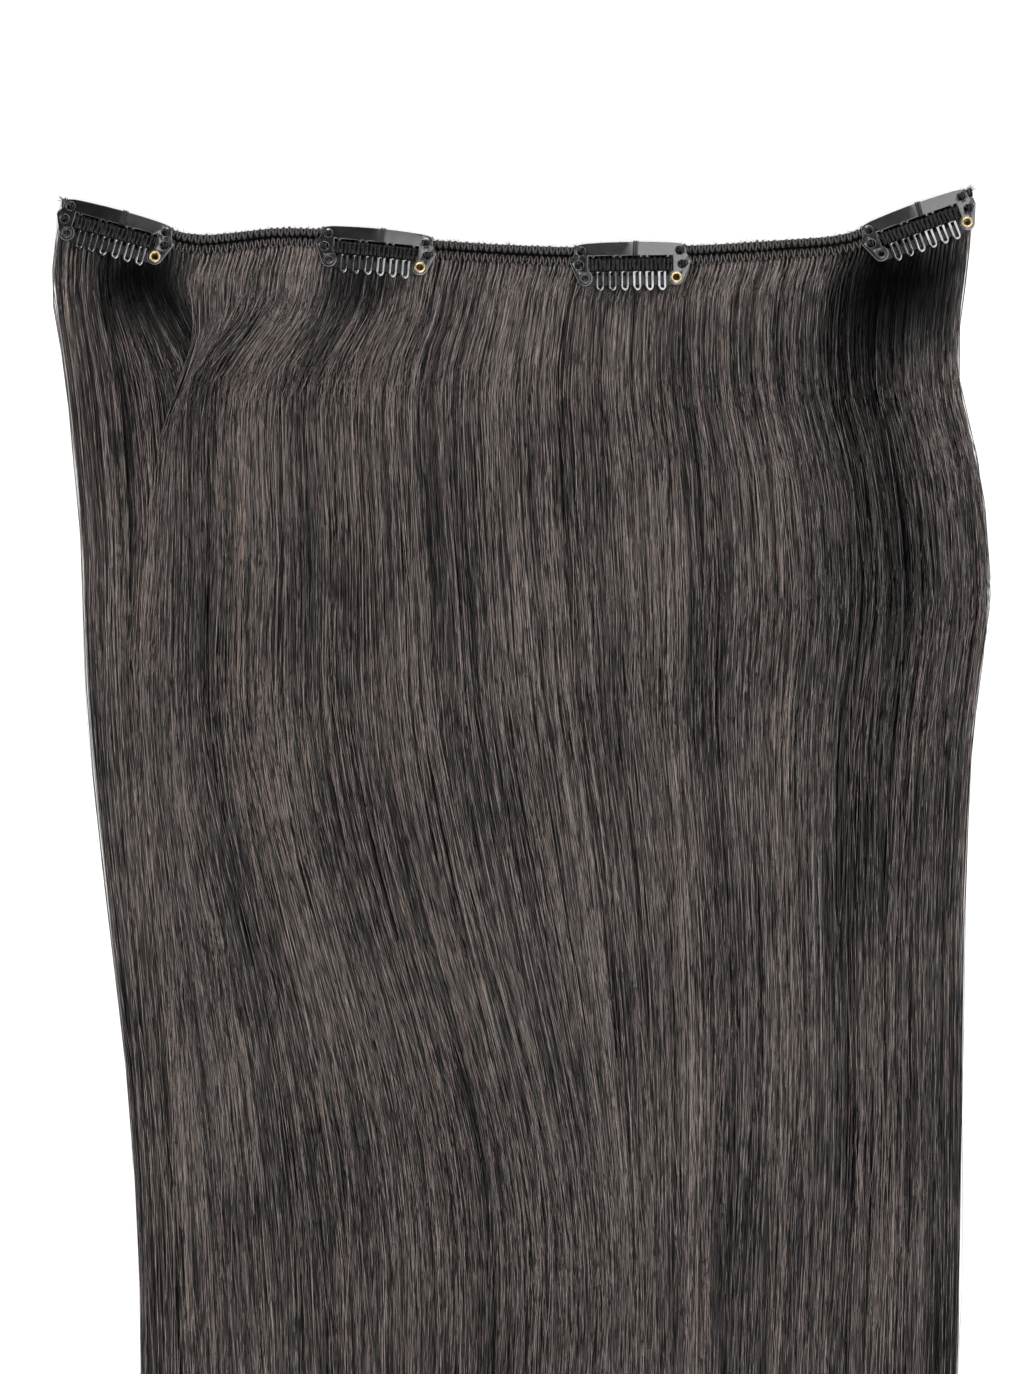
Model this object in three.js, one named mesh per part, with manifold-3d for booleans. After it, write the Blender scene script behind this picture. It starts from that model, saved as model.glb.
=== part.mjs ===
// A clip-in hair extension lying flat with its clips up: a doubled, machine-sewn weft, the curtain of
// straight hair that hangs from it, and four snap combs sewn along it.
// Millimetres. X runs along the weft, Y from the hair's tips up to the weft, and Z up from the table.

import * as THREE from "three";
import { mergeVertices } from "three/addons/utils/BufferGeometryUtils.js";
import Module from "manifold-3d";

const wasm = await Module();
wasm.setup();

// Clearance between pieces that rest on each other, and inside a clip's stack of sheets.
const restGap = 0.3;
const stackGap = 0.2;

// Weft: two sewn tracks, one below the other.
const weftSpan = 242;
const upperTrackHeight = 2.3;
const lowerTrackHeight = 2.6;
const upperTrackThickness = 2.8;
const lowerTrackThickness = 2.6;
const trackCorner = 0.7;
const trackStations = 44;

// Hair: its length from the weft's lowest stretch to the tips, and its greatest thickness.
const hairLength = 406;
const hairDepth = 4.6;
const hairRootThickness = 1.9;
const lockCount = 20;
const lockValley = 0.3;
const lockVariation = 0.12;
const edgeSoftness = 0.03;
const tipNotch = 0.03;
const tipScatter = 0.025;
const tipStart = 0.8;
const swayStrength = 0.02;

// Snap comb: one stamped sheet with a window, a bar behind it, and a comb that swings at its legs.
const clipLength = 32.2;
const sheetThickness = 0.5;
const eyeletInset = 3.95;
const plateRise = 9.55;
const plateArch = 0.55;
const plateBand = 3.65;
const shoulderInset = 1.2;
const shoulderRadius = 1.7;
const waistDrop = 3.3;
const widestHeight = 4.3;
const lugRadius = 2.05;
const sewingHoleRadius = 1.2;
const upperHoleInset = 3.0;
const lowerHoleInset = 2.4;
const upperHoleDrop = 2.35;
const lowerHoleHeight = 3.5;
const roofAngle = 2;
const weftTopOnClip = 8.6;

const narrowSlot = 1.0;
const legWidth = 0.7;
const windowInset = 0.85;
const stubLength = 0.5;
const legLength = 0.8;

const toothCount = 6;
const toothMargin = 0.74;
const toothWidth = 2.2;
const toothSlot = 1.0;
const toothReach = 3.5;
const toothRoot = 2.2;
const barHeight = 2.75;

const eyeletBore = 0.85;
const eyeletWall = 0.2;
const flangeRadius = 1.6;
const flangeThickness = 0.25;
const gripThickness = 1.0;
const gripChamfer = 0.3;
const gripOverhang = 0.6;

// The weft's top edge, left to right: along and rise are shares of weftSpan, and roll is how many
// degrees the band leans, with its lower side lifted off the table.
const weftLine = [
  { along: -0.5, rise: 0.0527, roll: 4 },
  { along: -0.437, rise: 0.0349, roll: 4 },
  { along: -0.37, rise: 0.0162, roll: 4 },
  { along: -0.345, rise: 0.0128, roll: 4 },
  { along: -0.307, rise: 0.0161, roll: 4 },
  { along: -0.263, rise: 0.0203, roll: 7 },
  { along: -0.21, rise: 0.018, roll: 12 },
  { along: -0.1534, rise: 0.0122, roll: 12 },
  { along: -0.09, rise: 0.0062, roll: 11 },
  { along: 0.041, rise: 0, roll: 4 },
  { along: 0.1245, rise: 0.0006, roll: 2 },
  { along: 0.2, rise: 0.0018, roll: 3 },
  { along: 0.307, rise: 0.0083, roll: 5 },
  { along: 0.352, rise: 0.0118, roll: 8 },
  { along: 0.38, rise: 0.0193, roll: 9 },
  { along: 0.436, rise: 0.0396, roll: 9 },
  { along: 0.5, rise: 0.0642, roll: 9 },
];

// Where each clip sits along the weft, as a share of weftSpan.
const clipPlaces = [-0.437, -0.1534, 0.1245, 0.436];

// The curtain from root to tip: down is a share of hairLength, left and right are shares of weftSpan,
// and depth is a share of hairDepth.
const curtain = [
  { down: 0.0, left: -0.509, right: 0.497, depth: 0.41 },
  { down: 0.03, left: -0.511, right: 0.491, depth: 0.46 },
  { down: 0.06, left: -0.503, right: 0.485, depth: 0.8 },
  { down: 0.1, left: -0.494, right: 0.488, depth: 0.98 },
  { down: 0.14, left: -0.488, right: 0.507, depth: 1.0 },
  { down: 0.19, left: -0.48, right: 0.516, depth: 0.96 },
  { down: 0.24, left: -0.477, right: 0.519, depth: 0.92 },
  { down: 0.3, left: -0.472, right: 0.503, depth: 0.9 },
  { down: 0.37, left: -0.462, right: 0.496, depth: 0.86 },
  { down: 0.45, left: -0.447, right: 0.49, depth: 0.82 },
  { down: 0.55, left: -0.429, right: 0.488, depth: 0.76 },
  { down: 0.66, left: -0.417, right: 0.487, depth: 0.7 },
  { down: 0.77, left: -0.413, right: 0.482, depth: 0.62 },
  { down: 0.88, left: -0.407, right: 0.475, depth: 0.5 },
  { down: 0.95, left: -0.402, right: 0.468, depth: 0.36 },
  { down: 1.0, left: -0.396, right: 0.461, depth: 0.2 },
];

const hairMaterial = new THREE.MeshStandardMaterial({ color: 0x2b2624, roughness: 0.45, metalness: 0 });
const threadMaterial = new THREE.MeshStandardMaterial({ color: 0x1c1b1b, roughness: 0.8, metalness: 0 });
const enamelMaterial = new THREE.MeshStandardMaterial({ color: 0x141415, roughness: 0.25, metalness: 0.4 });
const brassMaterial = new THREE.MeshStandardMaterial({ color: 0xc8a14a, roughness: 0.25, metalness: 1 });
const rubberMaterial = new THREE.MeshStandardMaterial({ color: 0x0e0e0f, roughness: 0.7, metalness: 0 });

// Smooth reading of one column of a table at a place between its rows.
function readTable(table, key, column, place) {
  const last = table.length - 1;
  let i = 0;
  while (i < last - 1 && place > table[i + 1][key]) i += 1;
  const slope = (a, b) => (table[b][column] - table[a][column]) / (table[b][key] - table[a][key]);
  const before = slope(Math.max(i - 1, 0), i + 1);
  const after = slope(i, Math.min(i + 2, last));
  const step = table[i + 1][key] - table[i][key];
  const t = THREE.MathUtils.clamp((place - table[i][key]) / step, 0, 1);
  const t2 = t * t;
  const t3 = t2 * t;
  return (
    (2 * t3 - 3 * t2 + 1) * table[i][column] +
    (t3 - 2 * t2 + t) * step * before +
    (3 * t2 - 2 * t3) * table[i + 1][column] +
    (t3 - t2) * step * after
  );
}

function toSolid(geometry) {
  const bare = geometry.clone();
  bare.deleteAttribute("normal");
  bare.deleteAttribute("uv");
  const merged = mergeVertices(bare, 1e-4);
  return new wasm.Manifold(
    new wasm.Mesh({
      numProp: 3,
      vertProperties: merged.attributes.position.array,
      triVerts: new Uint32Array(merged.index.array),
    }),
  );
}

function toGeometry(solid) {
  const mesh = solid.getMesh();
  const geometry = new THREE.BufferGeometry();
  geometry.setAttribute("position", new THREE.BufferAttribute(new Float32Array(mesh.vertProperties), 3));
  geometry.setIndex(new THREE.BufferAttribute(new Uint32Array(mesh.triVerts), 1));
  geometry.computeVertexNormals();
  return geometry;
}

function namedMesh(name, geometry, material) {
  const mesh = new THREE.Mesh(geometry, material);
  mesh.name = name;
  return mesh;
}

// The weft's own directions at a place along it: along the band, up the band, and out of its face.
function weftFrame(along, reach = 0.004) {
  const edge = (a) => new THREE.Vector3(a * weftSpan, readTable(weftLine, "along", "rise", a) * weftSpan, 0);
  const roll = THREE.MathUtils.degToRad(readTable(weftLine, "along", "roll", along));
  const forward = edge(along + reach).sub(edge(along - reach)).normalize();
  const across = new THREE.Vector3(-forward.y, forward.x, 0);
  const up = across.clone().multiplyScalar(Math.cos(roll));
  up.z = -Math.sin(roll);
  const out = new THREE.Vector3().crossVectors(forward, up);
  return { origin: edge(along), forward, up, out };
}

function weftPoint(along, up, out) {
  const frame = weftFrame(along);
  return frame.origin.addScaledVector(frame.up, up).addScaledVector(frame.out, out);
}

// A sewn track is a rounded band swept along the weft line.
function trackGeometry(top, height, thickness) {
  const box = new THREE.BoxGeometry(1, 1, 1, trackStations, 2, 2);
  const position = box.attributes.position;
  for (let i = 0; i < position.count; i += 1) {
    const side = position.getY(i) * 2;
    const level = position.getZ(i) + 0.5;
    const corner = Math.abs(side) * Math.abs(2 * level - 1) > 0.99 ? trackCorner : 0;
    const up = top - height / 2 + side * (height / 2 - corner);
    const p = weftPoint(position.getX(i), up, level * thickness);
    position.setXYZ(i, p.x, p.y, p.z);
  }
  return toGeometry(toSolid(box));
}

const bandHeight = upperTrackHeight + restGap + lowerTrackHeight;

// A fixed scatter between 0 and 1 for lock number n.
const scatter = (n) => THREE.MathUtils.euclideanModulo(Math.sin(n * 12.9898) * 43758.5453, 1);

function sway(across, down) {
  const held = Math.sin(Math.PI * across) * THREE.MathUtils.smoothstep(down, 0, 0.2);
  const long = Math.sin(2 * Math.PI * (1.2 * down + 0.9 * across));
  const short = Math.sin(2 * Math.PI * (2.5 * down - 1.7 * across + 0.3));
  return held * swayStrength * (long + 0.5 * short);
}

function lockShape(across) {
  const phase = Math.PI * lockCount * across;
  const valley = Math.cos(phase) ** 2;
  const lock = Math.min(Math.floor(lockCount * across), lockCount - 1);
  return { valley, lift: 1 - lockVariation * scatter(lock) * (1 - valley), scatter: scatter(lock + 50) };
}

// A point on the curtain: face is 1 on its upper side and 0 on its underside, which is cut flat later.
function hairPoint(across, down, face) {
  if (down === 0) {
    return weftPoint(across - 0.5, -bandHeight - restGap, face * hairRootThickness + (1 - face) * stackGap);
  }
  const left = readTable(curtain, "down", "left", down) * weftSpan;
  const right = readTable(curtain, "down", "right", down) * weftSpan;
  const lock = lockShape(across);
  const shortening = tipNotch * lock.valley + tipScatter * lock.scatter;
  const y = -hairLength * (down - shortening * THREE.MathUtils.smoothstep(down, tipStart, 1));
  const fromEdge = Math.min(across, 1 - across);
  const edge = Math.sqrt(Math.min(1, fromEdge / edgeSoftness + 0.06));
  const depth = hairDepth * readTable(curtain, "down", "depth", down) * edge;
  const z = face ? depth * lock.lift * (1 - lockValley * lock.valley) : -hairDepth / 2;
  return new THREE.Vector3(left + (right - left) * (across + sway(across, down)), y, z);
}

function hairGeometry() {
  const rows = curtain.length - 1;
  const box = new THREE.BoxGeometry(1, 1, 1, lockCount * 4, rows, 1);
  const position = box.attributes.position;
  for (let i = 0; i < position.count; i += 1) {
    const row = Math.round((0.5 - position.getY(i)) * rows);
    const p = hairPoint(position.getX(i) + 0.5, curtain[row].down, position.getZ(i) + 0.5);
    position.setXYZ(i, p.x, p.y, p.z);
  }
  const table = new THREE.BoxGeometry(3 * hairLength, 3 * hairLength, 2 * hairDepth);
  table.translate(0, -hairLength, -hairDepth);
  return toGeometry(toSolid(box).subtract(toSolid(table)));
}

// Sizes of the clip that follow from the driving ones. Its origin is midway between the eyelets.
const clipHalf = clipLength / 2;
const eyeletHalf = clipHalf - eyeletInset;
const shoulderHalf = clipHalf - shoulderInset;
const windowTop = plateRise - plateBand;
const windowHalf = eyeletHalf - windowInset;
const hingeHeight = windowTop - stubLength - stackGap;
const legTop = hingeHeight - stackGap;
const combTop = legTop - legLength;
const combHalf = windowHalf - 3 * stackGap;
const plateLevel = sheetThickness + stackGap;
const plateFace = plateLevel + sheetThickness;
const barrelRadius = eyeletBore + eyeletWall;
const lugHoleRadius = barrelRadius + stackGap;
const legPitch = (windowHalf - narrowSlot / 2) / 1.5;
const legInset = (narrowSlot + legWidth) / 2;
const legPlaces = [-1.5, -0.5, 0.5, 1.5]
  .flatMap((slot) => [slot * legPitch - legInset, slot * legPitch + legInset])
  .filter((place) => Math.abs(place) < windowHalf);
const toothPitch = (2 * (combHalf - toothMargin)) / toothCount;
const toothPlaces = Array.from({ length: toothCount }, (_, i) => (i - (toothCount - 1) / 2) * toothPitch);
const roofSlope = Math.tan(THREE.MathUtils.degToRad(roofAngle));
const clipLift = upperTrackThickness + restGap + stackGap;

// Points on an arc, from one angle to another in degrees.
function arc(x, y, radius, from, to, steps) {
  return Array.from({ length: steps + 1 }, (_, i) => {
    const angle = THREE.MathUtils.degToRad(from + ((to - from) * i) / steps);
    return new THREE.Vector2(x + radius * Math.cos(angle), y + radius * Math.sin(angle));
  });
}

const circle = (x, y, radius) => arc(x, y, radius, 0, 330, 11);
const mirrored = (points) => points.map((p) => new THREE.Vector2(-p.x, p.y)).reverse();

function stamped(outline, holes, level) {
  const shape = new THREE.Shape(outline);
  shape.holes = holes.map((hole) => new THREE.Path(hole));
  const geometry = new THREE.ExtrudeGeometry(shape, { depth: sheetThickness, bevelEnabled: false });
  return geometry.translate(0, 0, level);
}

// Every long piece of the clip is creased at its middle, so that both halves fall away from the crease.
function creased(geometry) {
  const solid = toSolid(geometry);
  const cutter = new THREE.BoxGeometry(clipLength, clipLength, clipLength).translate(clipHalf, 0, 0);
  const rightSide = toSolid(cutter);
  const halves = [solid.intersect(rightSide), solid.subtract(rightSide)].map((side) => {
    const half = toGeometry(side);
    const position = half.attributes.position;
    for (let i = 0; i < position.count; i += 1) {
      position.setZ(i, position.getZ(i) - Math.abs(position.getX(i)) * roofSlope);
    }
    return toSolid(half);
  });
  return toGeometry(halves[0].add(halves[1]));
}

function plateGeometry() {
  const shoulderTop = plateRise - plateArch;
  const window = legPlaces.flatMap((place) => [
    new THREE.Vector2(place - legWidth / 2, windowTop),
    new THREE.Vector2(place - legWidth / 2, windowTop - stubLength),
    new THREE.Vector2(place + legWidth / 2, windowTop - stubLength),
    new THREE.Vector2(place + legWidth / 2, windowTop),
  ]);
  const lugStart = THREE.MathUtils.radToDeg(Math.acos((windowHalf - eyeletHalf) / lugRadius));
  const right = [
    new THREE.Vector2(windowHalf, windowTop),
    ...arc(eyeletHalf, 0, lugRadius, lugStart, 340, 8),
    new THREE.Vector2(clipHalf, widestHeight),
    new THREE.Vector2(shoulderHalf, plateRise - waistDrop),
    ...arc(shoulderHalf - shoulderRadius, shoulderTop - shoulderRadius, shoulderRadius, 0, 90, 4),
    new THREE.Vector2(shoulderHalf / 2, plateRise - plateArch / 3),
    new THREE.Vector2(shoulderHalf / 6, plateRise),
  ];
  const holes = [-1, 1].flatMap((side) => [
    circle(side * (clipHalf - upperHoleInset), plateRise - upperHoleDrop, sewingHoleRadius),
    circle(side * (clipHalf - lowerHoleInset), lowerHoleHeight, sewingHoleRadius),
    circle(side * eyeletHalf, 0, lugHoleRadius),
  ]);
  return creased(stamped([...window, ...right, ...mirrored(right)], holes, plateLevel));
}

function barGeometry() {
  const barTop = THREE.MathUtils.radToDeg(Math.asin((barHeight - lugRadius) / lugRadius));
  const right = arc(eyeletHalf, 0, lugRadius, -90, 180 - barTop, 10);
  const outline = [...right, ...mirrored(right)];
  const holes = [-1, 1].map((side) => circle(side * eyeletHalf, 0, lugHoleRadius));
  return creased(stamped(outline, holes, 0));
}

function combGeometry() {
  const legs = legPlaces
    .flatMap((place) => [
      new THREE.Vector2(place - legWidth / 2, combTop),
      new THREE.Vector2(place - legWidth / 2, legTop),
      new THREE.Vector2(place + legWidth / 2, legTop),
      new THREE.Vector2(place + legWidth / 2, combTop),
    ])
    .reverse();
  const tipCentre = toothWidth / 2 - toothReach;
  const teeth = toothPlaces.flatMap((place) => [
    new THREE.Vector2(place - toothWidth / 2, toothRoot),
    ...arc(place, tipCentre, toothWidth / 2, 180, 360, 6),
    new THREE.Vector2(place + toothWidth / 2, toothRoot),
  ]);
  const slots = toothPlaces.map((place) => [
    ...arc(place, toothRoot - toothWidth / 2, toothSlot / 2, 0, 180, 4),
    ...arc(place, tipCentre, toothSlot / 2, 180, 360, 4),
  ]);
  const outline = [
    new THREE.Vector2(-combHalf, toothRoot),
    ...teeth,
    new THREE.Vector2(combHalf, toothRoot),
    new THREE.Vector2(combHalf, combTop),
    ...legs,
    new THREE.Vector2(-combHalf, combTop),
  ];
  return creased(stamped(outline, slots, plateLevel));
}

// The rubber grip lies over the comb's legs and root, hangs a little over the teeth, and stops short of
// the hinge line.
function gripGeometry() {
  const gripBottom = toothRoot - gripOverhang;
  const height = legTop - gripBottom;
  const section = new THREE.Shape([
    new THREE.Vector2(0, 0),
    new THREE.Vector2(height, 0),
    new THREE.Vector2(height, gripThickness - gripChamfer),
    new THREE.Vector2(height - gripChamfer, gripThickness),
    new THREE.Vector2(gripChamfer, gripThickness),
    new THREE.Vector2(0, gripThickness - gripChamfer),
  ]);
  const geometry = new THREE.ExtrudeGeometry(section, { depth: 2 * combHalf, bevelEnabled: false });
  geometry.rotateY(Math.PI / 2).rotateX(Math.PI / 2);
  return creased(geometry.translate(-combHalf, gripBottom, plateFace + stackGap));
}

function eyeletGeometry() {
  const low = -stackGap - flangeThickness;
  const high = plateFace + stackGap + flangeThickness;
  const profile = [
    new THREE.Vector2(eyeletBore, low),
    new THREE.Vector2(flangeRadius, low),
    new THREE.Vector2(flangeRadius, low + flangeThickness),
    new THREE.Vector2(barrelRadius, low + flangeThickness),
    new THREE.Vector2(barrelRadius, high - flangeThickness),
    new THREE.Vector2(flangeRadius, high - flangeThickness),
    new THREE.Vector2(flangeRadius, high),
    new THREE.Vector2(eyeletBore, high),
    new THREE.Vector2(eyeletBore, low),
  ];
  return new THREE.LatheGeometry(profile, 10).rotateX(Math.PI / 2);
}

// One clip, sewn on at a place along the weft. Its comb group turns about the hinge line at its legs.
function snapClip(number, place) {
  const clip = new THREE.Group();
  clip.name = `clip_${number}`;
  const frame = weftFrame(place, clipHalf / weftSpan);
  clip.quaternion.setFromRotationMatrix(new THREE.Matrix4().makeBasis(frame.forward, frame.up, frame.out));
  clip.position.copy(frame.origin).addScaledVector(frame.up, -weftTopOnClip).addScaledVector(frame.out, clipLift);

  clip.add(namedMesh(`clip_${number}_plate`, plateGeometry(), enamelMaterial));
  clip.add(namedMesh(`clip_${number}_bar`, barGeometry(), enamelMaterial));
  const eyelets = [
    { side: -1, name: "eyelet_left", material: enamelMaterial },
    { side: 1, name: "eyelet_right", material: brassMaterial },
  ];
  for (const { side, name, material } of eyelets) {
    const eyelet = namedMesh(`clip_${number}_${name}`, eyeletGeometry(), material);
    eyelet.position.set(side * eyeletHalf, 0, -eyeletHalf * roofSlope);
    clip.add(eyelet);
  }

  const comb = new THREE.Group();
  comb.name = `clip_${number}_hinge`;
  comb.position.set(0, hingeHeight, plateLevel + sheetThickness / 2);
  const toHinge = comb.position.clone().negate();
  comb.add(namedMesh(`clip_${number}_comb`, combGeometry().translate(...toHinge), enamelMaterial));
  comb.add(namedMesh(`clip_${number}_grip`, gripGeometry().translate(...toHinge), rubberMaterial));
  clip.add(comb);
  return clip;
}

const extension = new THREE.Group();
extension.name = "hair_extension";
const upperTrack = trackGeometry(0, upperTrackHeight, upperTrackThickness);
const lowerTrack = trackGeometry(-upperTrackHeight - restGap, lowerTrackHeight, lowerTrackThickness);
extension.add(namedMesh("weft_upper_track", upperTrack, threadMaterial));
extension.add(namedMesh("weft_lower_track", lowerTrack, threadMaterial));
extension.add(namedMesh("hair_curtain", hairGeometry(), hairMaterial));
clipPlaces.forEach((place, i) => extension.add(snapClip(i + 1, place)));

// The origin is under the middle of the whole extension, on the table.
extension.updateMatrixWorld(true);
const extent = new THREE.Box3().setFromObject(extension, true);
extension.position.set(-(extent.min.x + extent.max.x) / 2, -(extent.min.y + extent.max.y) / 2, -extent.min.z);
extension.updateMatrixWorld(true);

export default extension;
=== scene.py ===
import math

import bmesh
import bpy
import numpy as np
from mathutils import Matrix, Vector


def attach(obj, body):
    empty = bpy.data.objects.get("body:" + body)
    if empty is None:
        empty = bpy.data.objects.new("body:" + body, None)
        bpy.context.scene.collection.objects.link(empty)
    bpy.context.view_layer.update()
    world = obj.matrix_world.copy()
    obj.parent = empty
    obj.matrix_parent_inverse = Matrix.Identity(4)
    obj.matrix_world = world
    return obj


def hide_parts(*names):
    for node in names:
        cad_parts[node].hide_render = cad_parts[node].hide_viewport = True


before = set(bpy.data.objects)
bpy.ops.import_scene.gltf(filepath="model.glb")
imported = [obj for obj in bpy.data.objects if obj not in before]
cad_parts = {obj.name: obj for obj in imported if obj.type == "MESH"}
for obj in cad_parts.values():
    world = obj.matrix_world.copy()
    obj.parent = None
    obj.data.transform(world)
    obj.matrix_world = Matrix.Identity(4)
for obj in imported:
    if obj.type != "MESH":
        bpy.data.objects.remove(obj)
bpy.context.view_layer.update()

# Lengths are written in millimetres in the part's own frame, and turned to metres as a mesh is made.
mm = 0.001
dice = np.random.default_rng(11)


# small helpers

def readCurve(keys, values, at):  # smooth reading of a table between its rows
    keys, values = np.asarray(keys, float), np.asarray(values, float)
    at = np.asarray(at, float)
    last = len(keys) - 1
    i = np.clip(np.searchsorted(keys, at) - 1, 0, last - 1)
    lower, upper = np.maximum(i - 1, 0), np.minimum(i + 2, last)
    before = (values[i + 1] - values[lower]) / (keys[i + 1] - keys[lower])
    after = (values[upper] - values[i]) / (keys[upper] - keys[i])
    step = keys[i + 1] - keys[i]
    t = np.clip((at - keys[i]) / step, 0, 1)
    return ((2 * t**3 - 3 * t**2 + 1) * values[i] + (t**3 - 2 * t**2 + t) * step * before
            + (3 * t**2 - 2 * t**3) * values[i + 1] + (t**3 - t**2) * step * after)


def ease(x, low, high):  # 0 below low, 1 above high and smooth between
    t = np.clip((x - low) / (high - low), 0, 1)
    return t * t * (3 - 2 * t)


def unit(v):
    return v / np.maximum(np.linalg.norm(v, axis=-1, keepdims=True), 1e-9)


def linear(hexColour):  # sRGB hex to the linear colour that the shader takes
    parts = [int(hexColour[i:i + 2], 16) / 255 for i in (1, 3, 5)]
    return (*[c / 12.92 if c <= 0.04045 else ((c + 0.055) / 1.055) ** 2.4 for c in parts], 1.0)


def addNode(tree, kind, settings=None, links=None, stops=()):  # stops are a colour ramp's places and colours
    made = tree.nodes.new(kind)
    for key, value in (settings or {}).items():
        setattr(made, key, value)
    for socket, value in (links or {}).items():
        if isinstance(value, bpy.types.NodeSocket):
            tree.links.new(value, made.inputs[socket])
        else:
            made.inputs[socket].default_value = value
    for i, (place, colour) in enumerate(stops):
        band = made.color_ramp.elements
        stop = band[i] if i < len(band) else band.new(place)
        stop.position, stop.color = place, linear(colour)
    return made


def newMaterial(name):
    material = bpy.data.materials.new(name)
    material.use_nodes = True
    material.node_tree.nodes.clear()
    return material, material.node_tree


def addPiece(name, mesh, material, body, nodes=()):
    piece = bpy.data.objects.new(name, mesh)
    bpy.context.scene.collection.objects.link(piece)
    mesh.materials.append(material)
    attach(piece, body)
    if nodes:
        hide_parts(*nodes)
    return piece


# camera, floor and lights

photo = {"wide": 1024, "mmPerPixel": 0.26667, "centreX": -2.3, "centreY": 77.9, "height": 1400, "sensor": 36}

camera = bpy.data.objects.new("camera", bpy.data.cameras.new("camera"))
bpy.context.scene.collection.objects.link(camera)
camera.location = (photo["centreX"] * mm, photo["centreY"] * mm, photo["height"] * mm)
camera.data.sensor_fit = "HORIZONTAL"
camera.data.sensor_width = photo["sensor"]
camera.data.lens = photo["sensor"] * photo["height"] / (photo["wide"] * photo["mmPerPixel"])
camera.data.clip_end = 20
bpy.context.scene.camera = camera
bpy.context.scene.view_settings.view_transform = "Standard"

studio = {  # metres and watts
    "ambient": 0.14, "aim": (0, 0.05, 0), "floorHalf": 3, "floorDrop": 0.0001,
    "key": {"at": (0.42, 0.31, 1.65), "size": (0.72, 1.66), "watts": 25.5},
    "low": {"at": (-0.1, -1.5, 1.3), "size": (1.3, 0.26), "watts": 28},
    "high": {"at": (-0.2, 1.9, 1.2), "size": (1.6, 0.5), "watts": 26},
    "side": {"at": (-1.7, 0.1, 0.55), "size": (1.4, 0.6), "watts": 14},
}

world = bpy.data.worlds.new("studio")
bpy.context.scene.world = world
world.use_nodes = True
world.node_tree.nodes["Background"].inputs["Color"].default_value = linear("#fbfbfc")
world.node_tree.nodes["Background"].inputs["Strength"].default_value = studio["ambient"]

for lampName in ("key", "low", "high", "side"):
    facts = studio[lampName]
    lamp = bpy.data.lights.new(lampName, "AREA")
    lamp.shape = "RECTANGLE"
    lamp.size, lamp.size_y = facts["size"]
    lamp.energy = facts["watts"]
    lampObject = bpy.data.objects.new(lampName, lamp)
    bpy.context.scene.collection.objects.link(lampObject)
    lampObject.location = facts["at"]
    aim = Vector((*facts["at"][:2], 0) if lampName == "key" else studio["aim"])  # the key lamp hangs level
    lampObject.rotation_euler = (aim - lampObject.location).to_track_quat("-Z", "Y").to_euler()
    lampObject.visible_camera = False

paper, paperTree = newMaterial("whitePaper")  # matt white card, so that it has no gloss of its own
paperGrain = addNode(paperTree, "ShaderNodeTexNoise", links={"Scale": 60, "Detail": 4})
paperColour = addNode(paperTree, "ShaderNodeValToRGB", links={"Fac": paperGrain.outputs["Fac"]},
                      stops=[(0.3, "#f6f6f6"), (0.7, "#fafafa")])
paperShader = addNode(paperTree, "ShaderNodeBsdfPrincipled", links={
    "Base Color": paperColour.outputs["Color"], "Roughness": 0.95, "Specular IOR Level": 0.1})
addNode(paperTree, "ShaderNodeOutputMaterial", links={"Surface": paperShader.outputs[0]})
floorShape = bmesh.new()
bmesh.ops.create_grid(floorShape, x_segments=4, y_segments=4, size=studio["floorHalf"])
floorMesh = bpy.data.meshes.new("floor")
floorShape.to_mesh(floorMesh)
floorMesh.materials.append(paper)
floor = bpy.data.objects.new("floor", floorMesh)
bpy.context.scene.collection.objects.link(floor)
floor.location.z = -studio["floorDrop"]
print("stage: camera, floor and lights")


# weft line: the same shares as the solid's

weft = {
    "span": 242, "shift": (-0.968, 195.04), "upperHigh": 2.3, "lowerHigh": 2.6, "gap": 0.3,
    "upperThick": 2.8, "lowerThick": 2.6,
    # left to right: place and height in shares of the span, and roll in degrees
    "along": [-0.5, -0.437, -0.37, -0.345, -0.307, -0.263, -0.21, -0.1534, -0.09, 0.041, 0.1245, 0.2, 0.307,
              0.352, 0.38, 0.436, 0.5],
    "rise": [0.0527, 0.0349, 0.0162, 0.0128, 0.0161, 0.0203, 0.018, 0.0122, 0.0062, 0, 0.0006, 0.0018, 0.0083,
             0.0118, 0.0193, 0.0396, 0.0642],
    "roll": [4, 4, 4, 4, 4, 7, 12, 12, 11, 4, 2, 3, 5, 8, 9, 9, 9],
}
bandHigh = weft["upperHigh"] + weft["gap"] + weft["lowerHigh"]


def weftFrame(along, reach=0.004):
    along = np.asarray(along, float)

    def edge(a):
        rise = readCurve(weft["along"], weft["rise"], a)
        return np.stack([a * weft["span"], rise * weft["span"], np.zeros_like(a)], -1)

    roll = np.radians(readCurve(weft["along"], weft["roll"], along))
    forward = unit(edge(along + reach) - edge(along - reach))
    up = np.stack([-forward[..., 1] * np.cos(roll), forward[..., 0] * np.cos(roll), -np.sin(roll)], -1)
    return edge(along) + np.array([*weft["shift"], 0]), forward, up, np.cross(forward, up)


def weftPoint(along, up, out):
    origin, _, upward, outward = weftFrame(along)
    return origin + upward * np.asarray(up)[..., None] + outward * np.asarray(out)[..., None]


# tubes: many round strands in one mesh, each closed at both ends

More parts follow.
